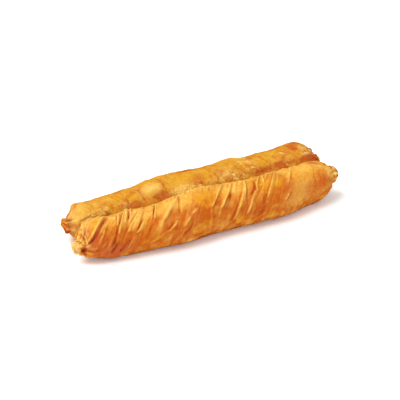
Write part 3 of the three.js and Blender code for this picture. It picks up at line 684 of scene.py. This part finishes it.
            caps += [turn(np.stack([inner, outer, o2], -1)), turn(np.stack([inner, o2, i2], -1))]
            outer = inner
        V, C = np.vstack([V, V[outer].mean(0)]), np.vstack([C, C[outer].mean(0)])
        caps.append(turn(np.stack([np.full(nt, len(V) - 1), outer, np.roll(outer, -1)], -1)))
    tris = np.vstack([quads[:, [0, 1, 2]], quads[:, [0, 2, 3]]] + caps)
    if spec["side"] > 0:
        tris = tris[:, ::-1]
    spec["surface"] = (P, x, deg)
    ob = mesh_object(name, to_row(V), tris, crust("crust_" + name), C)
    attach(ob, "root")
    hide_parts(node)
    return ob


FRONT.update(gathers=[(13, 0.5), (9, 0.6)], drawn=(1.0, 1.0), grid=(960, 100), columns=[(-48, 128, 0.77), (128, 312, 0.23)], rim=0.5, blotch=0.0, knots=(1.3, 0.8), calm=0.75, tint=(1.0, 1.0, 1.0))
FRONT["rose"] = [(35, -14, 4, 7, 0.5), (-98.4, 46, 2.6, 6, 0.7), (-94.5, 56, 2.2, 5, 0.45), (-92, -22, 12, 16, 0.3), (-106.5, 25, 4, 9, 0.7), (-86, -20, 9, 14, 0.5), (-105.0, 31, 3.5, 9, 0.9), (-101.5, 42, 3.5, 7, 0.6), (-97, 6, 9, 20, 0.5), (-104, 8, 5, 16, 0.4), (-93, -26, 10, 20, 0.7), (-84, -15, 8, 14, 0.7), (-36, -6, 7, 12, 0.35), (97, 103, 3.5, 8, 0.9), (-76, -4, 5, 13, 0.4), (38, 2, 5, 10, 0.4), (95.5, 8, 3, 18, 0.5), (99, -12, 3, 8, 0.6), (100, 95, 3.5, 9, 0.6)]
FRONT["tips"] = [dict(dome=1.0, tones=(PALE, CREAM, GOLD), red=[]), dict(dome=1.2, tones=(GOLD, BROWN, RED), red=[])]
BACK["tips"] = [dict(dome=1.6, tones=(GOLD, BROWN, RED), red=[(215, 28, 1.0), (160, 18, 0.6)]), dict(dome=1.2, tones=(GOLD, BROWN, ROSE), red=[])]
FRONT["smooth"] = [(-8, 40, 13, 55, 0.6), (-98, 28, 7, 22, 0.4)]
BACK["smooth"] = []
# patches of painted shade: bottoms of deep creases and the hole of the left tail
FRONT["deep"] = [(-30.3, -6, 1.0, 4, 0.5), (-88.0, 14, 0.9, 6, 0.6), (-87.4, -1, 0.9, 6, 0.7), (-89.0, -12, 0.9, 6, 0.9), (-90.7, -20, 0.9, 5, 0.8), (-81.6, -13, 1.0, 5, 0.6), (-83.4, -19.5, 1.0, 4.5, 0.8),
                 (-103.6, 46, 1.0, 4, 0.7), (-105.0, 41.5, 1.0, 4, 0.7), (-101.5, -6, 1.2, 4, 0.6), (-110.8, -4, 1.4, 14, 0.9)]
BACK["deep"] = []
FRONT["flame"] = [(-8, -14, 4, 6, 0.35), (96.5, 24, 5, 16, 0.3), (-75.5, -24, 1.2, 3, 0.8)]
# the back roll's flame patches at x 109 to 115 are a brighter red that lifts an end facing away from the lamps: partly
# baked colour, partly painted light
BACK["flame"] = [(-110.6, 160, 1.4, 12, 0.6), (-99, 76, 3, 6, 0.3), (109.5, 141, 4, 10, 0.8), (114.5, 140, 2.5, 20, 0.7)]
FRONT["lumpy"] = [(-108.5, 105, 4, 35, 0.5), (-113, 95, 4, 70, 0.7), (114.5, 70, 4.5, 90, 0.9)]
BACK["lumpy"] = [(109, 110, 6, 20, 1.0), (115, 120, 4, 60, 0.7), (-110, 110, 3, 70, 0.6)]
FRONT["cream"] = [(-115.9, 40, 1.6, 60, 0.85), (-107.6, 26, 1.5, 8, 0.5), (-107.5, 100, 3, 20, 0.3), (113, 62, 3, 24, 0.35)]
BACK["cream"] = [(101.5, 126.5, 3.5, 2.4, 0.8), (108.5, 113, 3, 4, 0.6), (99.5, 102, 2.0, 3, 0.4), (-38, 113, 5, 7, 0.3)]
BACK["rose"] = [(-31, 138, 5, 7, 0.5), (93, 103, 2.6, 6, 0.8), (106, 139, 5, 9, 0.9), (113, 132, 4, 10, 0.6), (59, 137, 6, 7, 0.4), (77, 135, 6, 7, 0.4), (-53, 136, 6, 8, 0.4), (-108.5, 112, 3, 16, 0.3), (-104.4, 162, 2.2, 9, 0.3), (-110.5, 160, 2.0, 26, 0.3)]
BACK.update(gathers=[(6, 0.5), (9, 0.45)], drawn=(1.0, 0.45), grid=(760, 126), columns=[(-50, 62, 0.27), (62, 158, 0.48), (158, 310, 0.25)], rim=0.0, blotch=0.45, knots=(0.5, 1.0), calm=0.0, tint=(0.93, 1.02, 1.14))
folds_f = (to_rim(FOLDS_FRONT) + chance_folds(101, 62, -100, 72, -35, 95, 0.35, 0.4, 0.35, (22, 60)) + chance_folds(102, 22, -104, -60, -30, 90, 0.5, 0.45, 0.5, (20, 60))
           + chance_folds(103, 44, -90, 34, 90, 118, 0.6, 1.0, 0.25, (16, 44), (0.15, 0.4)))
folds_b = (FOLDS_BACK + chance_folds(201, 24, -98, 100, 95, 150, 0.35, 0.45, 0.2, (14, 40), (0.1, 0.4)) + chance_folds(203, 40, -100, 104, 72, 140, 0.3, 0.5, 0.22, (16, 50), (0.0, 0.4))
           + chance_folds(202, 70, -98, 100, -35, 40, 0.9, 0.9, 0.6))
front = build_roll(FRONT, "front_crust", "roll_front", folds_f, EDGES_FRONT, BULGE_FRONT, PALE_FRONT, BROWN_FRONT, RED_FRONT, CRUMBLY_FRONT)
back = build_roll(BACK, "back_crust", "roll_back", folds_b, EDGES_BACK, BULGE_BACK, PALE_BACK, BROWN_BACK, RED_BACK, CRUMBLY_BACK)

# ---------------------------------------------------------------- loose filo: flaps, flakes, bridge
def closed_sheet(top, thick):
    """closed thin sheet from a grid of points (m, n, 3): vertices and triangles"""
    m, n = top.shape[:2]
    du, dv = np.gradient(top, axis=0), np.gradient(top, axis=1)
    nrm = np.cross(du, dv)
    nrm /= np.maximum(np.linalg.norm(nrm, axis=-1, keepdims=True), 1e-9)
    V = np.concatenate([(top + nrm * thick / 2).reshape(-1, 3), (top - nrm * thick / 2).reshape(-1, 3)])
    i, j = np.meshgrid(np.arange(m - 1), np.arange(n - 1), indexing="ij")
    a, b, c, d = (i * n + j).ravel(), ((i + 1) * n + j).ravel(), ((i + 1) * n + j + 1).ravel(), (i * n + j + 1).ravel()
    k = m * n
    faces = [np.stack([a, b, c], 1), np.stack([a, c, d], 1), np.stack([a + k, c + k, b + k], 1), np.stack([a + k, d + k, c + k], 1)]
    rim = np.concatenate([np.arange(n), np.arange(1, m) * n + n - 1, (m - 1) * n + np.arange(n - 2, -1, -1), np.arange(m - 2, 0, -1) * n])
    nxt = np.roll(rim, -1)
    faces += [np.stack([rim, nxt, nxt + k], 1), np.stack([rim, nxt + k, rim + k], 1)]
    return V, np.concatenate(faces)


class Pile:
    """many small closed sheets joined into one piece"""

    def __init__(self):
        self.v, self.f, self.c, self.n = [], [], [], 0

    def add(self, top, thick, colour):
        v, f = closed_sheet(top, thick)
        self.v.append(v)
        self.f.append(f + self.n)
        self.c.append(np.concatenate([colour.reshape(-1, 3)] * 2))
        self.n += len(v)

    def piece(self, name):
        V = np.concatenate(self.v)
        V[:, 2] = np.maximum(V[:, 2], 0.05)
        ob = mesh_object(name, to_row(V), np.concatenate(self.f), crust("crust_" + name), np.concatenate(self.c))
        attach(ob, "root")
        return ob


def tail_flaps(pile, spec, end, seed, tones, layers, bare=None):
    """petals of ruffled sheet round a pinched tail. A layer is (count, start, length, radius, flare);
    bare is a span of angles left without petals."""
    rng = np.random.default_rng(seed)
    e = spec[end]
    sgn = -1 if end == "left" else 1
    x0 = e["tip"] - sgn * e["tail"]
    yc = SPACING / 2 + along(spec["bow"], np.array(x0)) + e["out"]
    zc = HEIGHT / 2 * along(spec["swell"], np.array(x0)) * SETTLE + e["lift"]
    m, n = 15, 17
    s = np.linspace(0, 1, m)[:, None]
    t = np.linspace(-1, 1, n)[None, :]
    for count, start, length, radius, flare in layers:
        for k in range(count):
            th0 = 2 * math.pi * (k + rng.uniform(-0.35, 0.35)) / count
            if bare and bare[0] < (math.degrees(th0) - bare[0]) % 360 + bare[0] < bare[1]:
                continue
            width = rng.uniform(0.75, 1.35) * math.pi / count
            full = length * rng.uniform(0.75, 1.1)
            notch = 0.10 * np.abs(np.sin(t * rng.uniform(2, 4.5) + rng.uniform(0, 6))) + 0.07 * np.sin(t * rng.uniform(7, 12) + rng.uniform(0, 6)) + 0.14 * t ** 2
            a = -start + (full + start) * s * (1 - notch * s)
            rho = radius * (1 + 0.25 * smooth(-a, 0, max(start, 0.1))) * rng.uniform(0.93, 1.07) + rng.uniform(-0.4, 1.0) * flare * s ** 2
            pleat = np.abs(((t * rng.uniform(1.2, 2.4) + rng.uniform(0, 2) + 0.4 * s) % 2) - 1) - 0.5
            rho = rho + pleat * rng.uniform(0.8, 1.7) * smooth(s, 0.05, 0.9) * min(1.0, radius / 5) + 0.2 * np.sin(8 * s + t * 3 + k)
            th = th0 + width * t * (1 - 0.2 * s) + rng.uniform(0.1, 0.6) * s
            top = np.stack([x0 + sgn * (a + 0 * th), spec["side"] * (yc + rho * np.cos(th)), zc + rho * np.sin(th)], -1)
            edge = smooth(s + 0.2 * np.abs(t), 0.6, 1.1)
            pick = rng.uniform(0, 1)
            col = mix(np.broadcast_to(tones[0], top.shape), tones[1], pick + 0.5 * (pleat + 0.5) * (0 * s + 1) + 0.4 * noise(top, 2.2, seed + k))
            col = mix(col, tones[2], smooth(noise(top, 3.0, seed + 50 + k) + 0.35 * edge - pleat * 0.6, 0.2, 0.9) * tones[3])
            pile.add(top, 0.3, col)


def surface_lookup(spec):
    from mathutils import kdtree
    P, x, deg = spec["surface"]
    tree = kdtree.KDTree(x.size)
    flat = np.stack([x.ravel(), deg.ravel() * 0.3, np.zeros(x.size)], 1)
    for i, q in enumerate(flat):
        tree.insert(q, i)
    tree.balance()
    du = np.gradient(P, axis=0)
    dv = np.roll(P, -1, 1) - np.roll(P, 1, 1)
    N = np.cross(dv, du) * -spec["side"]
    N /= np.maximum(np.linalg.norm(N, axis=-1, keepdims=True), 1e-9)
    if ((P - P.mean(1, keepdims=True)) * N).sum(-1).mean() < 0:
        N = -N
    Pf, Nf = P.reshape(-1, 3), N.reshape(-1, 3)
    return lambda bx, bf: (lambda i: (Pf[i], Nf[i]))(tree.find((bx, bf * 0.3, 0))[1])


def flakes(pile, at, seed, count, x0, x1, f0, f1, length, breadth, turn, lift, tones):
    """torn bits of sheet that lift off a roll at one edge: tones of the held edge, the free edge and spots"""
    rng = np.random.default_rng(seed)
    m, n = 9, 6
    a, b = np.meshgrid(np.linspace(-1, 1, m), np.linspace(-1, 1, n), indexing="ij")
    for _ in range(count):
        p, nrm = at(rng.uniform(x0, x1), rng.uniform(f0, f1))
        ax = np.array([1.0, 0, 0]) - nrm * nrm[0]
        ax /= np.linalg.norm(ax)
        bx = np.cross(nrm, ax)
        yaw = rng.uniform(*turn) + (math.pi if rng.uniform() < 0.5 else 0)
        e1, e2 = ax * math.cos(yaw) + bx * math.sin(yaw), bx * math.cos(yaw) - ax * math.sin(yaw)
        la, lb = rng.uniform(*length) / 2, rng.uniform(*breadth) / 2
        k = rng.uniform(0, 50, 4)
        q1 = a * la * (1 + 0.18 * np.sin(2.3 * b + k[0]) - 0.15 * (b + 1)) + 0.25 * la * np.sin(1.7 * b + k[1])
        q2 = b * lb * (1 + 0.22 * np.sin(2.9 * a + k[1]) + 0.16 * np.sin(6.1 * a + k[2])) + 0.25 * lb * np.sin(2.2 * a + k[3])
        up = -0.3 + rng.uniform(0.3, 1.0) * lift * (q2 + lb) + rng.uniform(-0.1, 0.5) * lb * b ** 2 + 0.14 * np.sin(3.5 * a + k[0])
        top = p + q1[..., None] * e1 + q2[..., None] * e2 + up[..., None] * nrm
        col = mix(np.broadcast_to(tones[0], top.shape), tones[1], 0.5 + 0.5 * b + 0.5 * noise(top, 1.6, seed))
        col = mix(col, tones[2], smooth(noise(top, 2.0, seed + 3), 0.2, 0.8) * rng.uniform(0, 0.8))
        pile.add(top, 0.26, col)


def torn_edge(pile, at, seed, path, height, lean, tones):
    """torn edge of the sheet standing along a path of (x, phi) points; lean tips it upright"""
    rng = np.random.default_rng(seed)
    n = max(9, int(abs(path[-1][0] - path[0][0]) / 0.4))
    s = np.linspace(0, 1, n)
    k = np.linspace(0, 1, len(path))
    spots = [at(a, b) for a, b in zip(np.interp(s, k, [q[0] for q in path]), np.interp(s, k, [q[1] for q in path]))]
    calm = lambda v: np.stack([np.convolve(np.pad(v[:, i], 2, mode="edge"), np.ones(5) / 5, "valid") for i in range(3)], 1)
    base, up = calm(np.array([q[0] for q in spots])), calm(np.array([q[1] for q in spots]))
    up = up + lean * np.array([0, 0, 1.0])
    up /= np.linalg.norm(up, axis=1, keepdims=True)
    tang = np.gradient(base, axis=0)
    side = np.cross(up, tang)
    side /= np.maximum(np.linalg.norm(side, axis=1, keepdims=True), 1e-9)
    line = np.stack([s * 97.0, np.full(n, seed * 3.1), np.zeros(n)], 1) * (abs(path[-1][0] - path[0][0]) / 97.0)
    tall = height * np.clip(0.55 + 0.55 * noise(line, 3.5, seed) + 0.45 * noise(line, 1.1, seed + 1), 0.08, 1.3) * smooth(s, 0, 0.12) * smooth(1 - s, 0, 0.12)
    wave = 0.7 * noise(line, 2.6, seed + 2) + 0.3 * noise(line, 1.2, seed + 3)
    r = np.linspace(0, 1, 5)[:, None]
    top = base[None] + (-0.5 + (tall[None] + 0.5) * r)[..., None] * up[None] + (wave[None] * height * r * 0.8)[..., None] * side[None]
    col = mix(np.broadcast_to(tones[0], top.shape), tones[1], r + 0.5 * noise(top, 1.5, seed))
    col = mix(col, tones[2], smooth(noise(top, 2.0, seed + 5), 0.25, 0.7) * rng.uniform(0.3, 0.8))
    pile.add(top, 0.3, col)


on_front, on_back = surface_lookup(FRONT), surface_lookup(BACK)
flaps = Pile()
tail_flaps(flaps, FRONT, "left", 301, (PALE, CREAM, BROWN, 0.5), [(8, 3.0, 5.2, 5.9, 0.8)], bare=(-95, 85))
tail_flaps(flaps, BACK, "right", 304, (BROWN, FLAME, RED, 0.6), [(7, 3.0, 2.6, 6.4, 0.5)])
flakes(flaps, on_front, 311, 8, -116, -113, 70, 250, (2.5, 4.5), (1.6, 3.2), (-0.9, 0.9), 0.5, (PALE, CREAM, BROWN))
flaps.piece("tail_flaps")

bits = Pile()
cream_bits, pale_bits, gold_bits = (CREAM, CREAM, PALE), (PALE, CREAM, BROWN), (GOLD, PALE, BROWN)
torn_edge(bits, on_front, 421, [(-110, 108), (-104, 115), (-97, 117), (-90, 116)], 1.6, 0.3, (PALE, CREST, BROWN))
torn_edge(bits, on_front, 422, [(-107, 120), (-101, 123), (-94, 122)], 1.4, 0.3, (GOLD, PALE, BROWN))
torn_edge(bits, on_back, 425, [(-102, 143), (-97.5, 137), (-93, 133), (-88, 132), (-84, 128)], 1.2, 0.2, (PALE, GOLD, BROWN))
torn_edge(bits, on_back, 426, [(-99, 143), (-93, 139.5), (-88, 137), (-84.5, 134)], 1.0, 0.2, (GOLD, PALE, BROWN))
torn_edge(bits, on_front, 423, [(-76, 112), (-73, 117), (-70.5, 121)], 1.7, 0.5, (PALE, CREAM, GOLD))
torn_edge(bits, on_front, 424, [(-70.5, 116), (-68, 118), (-65, 114)], 1.0, 0.4, (PALE, CREAM, GOLD))
for k, (x0, x1, f0, f1, tall) in enumerate([(-37, -27, 110, 116, 0.7), (-29, -18, 118, 122, 0.9), (-21, -9, 113, 117, 0.7), (-12, 2, 119, 121, 0.8), (-2, 10, 114, 117, 0.6), (14, 24, 117, 119, 0.6), (40, 47, 117, 119, 0.6),
                                             (52, 60, 116, 118, 0.6), (66, 75, 115, 117, 0.7), (78, 86, 116, 117, 0.8), (84, 92, 114, 115, 0.6)]):
    torn_edge(bits, on_front, 431 + k, [(x0, f0), (0.5 * (x0 + x1), 0.5 * (f0 + f1) + 2), (x1, f1)], tall, -0.3, (PALE, CREST, GOLD))
torn_edge(bits, on_back, 441, [(98.5, 124), (101.5, 127), (106, 128)], 1.3, 0.2, (CREST, CREAM, ROSE))
torn_edge(bits, on_back, 442, [(105, 112), (108, 114), (111, 117)], 1.0, 0.2, (PALE, CREAM, GOLD))
torn_edge(bits, on_back, 443, [(98, 100), (102, 104), (107, 104)], 1.1, 0.2, (GOLD, PALE, BROWN))
torn_edge(bits, on_back, 444, [(107, 98), (111, 106), (114, 116)], 1.3, 0.0, (GOLD, PALE, ROSE))
torn_edge(bits, on_back, 445, [(109, 122), (112, 126), (115, 124)], 1.1, 0.0, (BROWN, CREST, ROSE))
torn_edge(bits, on_back, 446, [(111.5, 92), (114.5, 104), (116.5, 120)], 1.2, 0.0, (GOLD, PALE, BROWN))
torn_edge(bits, on_front, 451, [(108, 112), (111, 96), (114, 80)], 1.0, 0.0, (GOLD, PALE, BROWN))
torn_edge(bits, on_front, 452, [(113, 106), (115, 88), (117, 64)], 1.1, 0.0, (GOLD, PALE, BROWN))
flakes(bits, on_front, 401, 7, -109, -90, 112, 124, (2.0, 4.5), (1.0, 2.0), (-0.6, 0.6), 0.5, gold_bits)
flakes(bits, on_front, 407, 9, -108, -97, 98, 116, (1.6, 3.4), (0.8, 1.6), (-0.9, 0.9), 0.25, pale_bits)
flakes(bits, on_back, 402, 6, -103, -94, 132, 144, (1.6, 3.6), (0.9, 1.9), (-0.8, 0.8), 0.35, gold_bits)
flakes(bits, on_back, 406, 6, -95, -82, 126, 140, (1.6, 3.6), (0.9, 1.9), (-0.8, 0.8), 0.35, gold_bits)
flakes(bits, on_front, 403, 9, -34, 4, 110, 124, (2.0, 4.5), (1.2, 2.2), (-0.6, 0.6), 0.3, (PALE, CREST, GOLD))
flakes(bits, on_back, 404, 10, -30, 4, 136, 148, (1.5, 3.5), (1.0, 2.0), (-0.8, 0.8), 0.35, (PALE, CREST, GOLD))
flakes(bits, on_back, 405, 5, 24, 46, 122, 140, (1.5, 3.0), (1.0, 1.8), (-0.6, 0.9), 0.25, gold_bits)
flakes(bits, on_back, 410, 2, 81, 86, 138, 143, (2.0, 3.0), (1.0, 1.6), (-1.2, -0.6), 0.3, gold_bits)
bits.piece("filo_flakes")

# ---------------------------------------------------------------- floor, light, camera
floor_mat = bpy.data.materials.new("floor_pale")
floor_mat.use_nodes = True
fb = floor_mat.node_tree.nodes["Principled BSDF"]
fb.inputs["Base Color"].default_value = (0.96, 0.96, 0.96, 1)
fb.inputs["Roughness"].default_value = 0.9
floor = mesh_object("floor", np.array([[-4, -4, 0], [4, -4, 0], [4, 4, 0], [-4, 4, 0]], float), np.array([[0, 1, 2, 3]]), floor_mat)

world = bpy.data.worlds.new("studio")
bpy.context.scene.world = world
world.use_nodes = True
world.node_tree.nodes["Background"].inputs["Color"].default_value = (1.0, 1.0, 1.0, 1)
world.node_tree.nodes["Background"].inputs["Strength"].default_value = 0.72


def area(name, where, at, size, power, colour=(1, 1, 1)):
    d = bpy.data.lights.new(name, "AREA")
    d.shape = "DISK"
    d.size = size
    d.energy = power
    d.color = colour
    o = bpy.data.objects.new(name, d)
    o.location = where
    o.rotation_mode = "QUATERNION"
    o.rotation_quaternion = (Vector(where) - Vector(at)).to_track_quat("Z", "Y")
    bpy.context.scene.collection.objects.link(o)


area("key", (-1.5, 0.35, 3.1), (0, 0, 0.02), 2.8, 120.0)
area("fill", (-1.2, -3.4, 1.8), (0, 0, 0.02), 2.4, 54.0)

cam_data = bpy.data.cameras.new("camera")
cam = bpy.data.objects.new("camera", cam_data)
bpy.context.scene.collection.objects.link(cam)
cam_data.lens, cam_data.sensor_width = 200.0, 36.0
AZ, EL = math.radians(-27.5), math.radians(30.0)
backdir = Vector((math.sin(AZ) * math.cos(EL), -math.cos(AZ) * math.cos(EL), math.sin(EL)))
target = Vector(to_row(np.array([0.0, 0.0, 16.0])))
cam.location = target + backdir * 1.7778
cam.rotation_mode = "QUATERNION"
cam.rotation_quaternion = backdir.to_track_quat("Z", "Y")
cam_data.shift_x, cam_data.shift_y = 1.1 / 400, 2.66 / 400
cam_data.clip_start, cam_data.clip_end = 0.05, 20
bpy.context.scene.camera = cam
bpy.context.scene.view_settings.view_transform = "Standard"
bpy.context.scene.view_settings.look = "None"
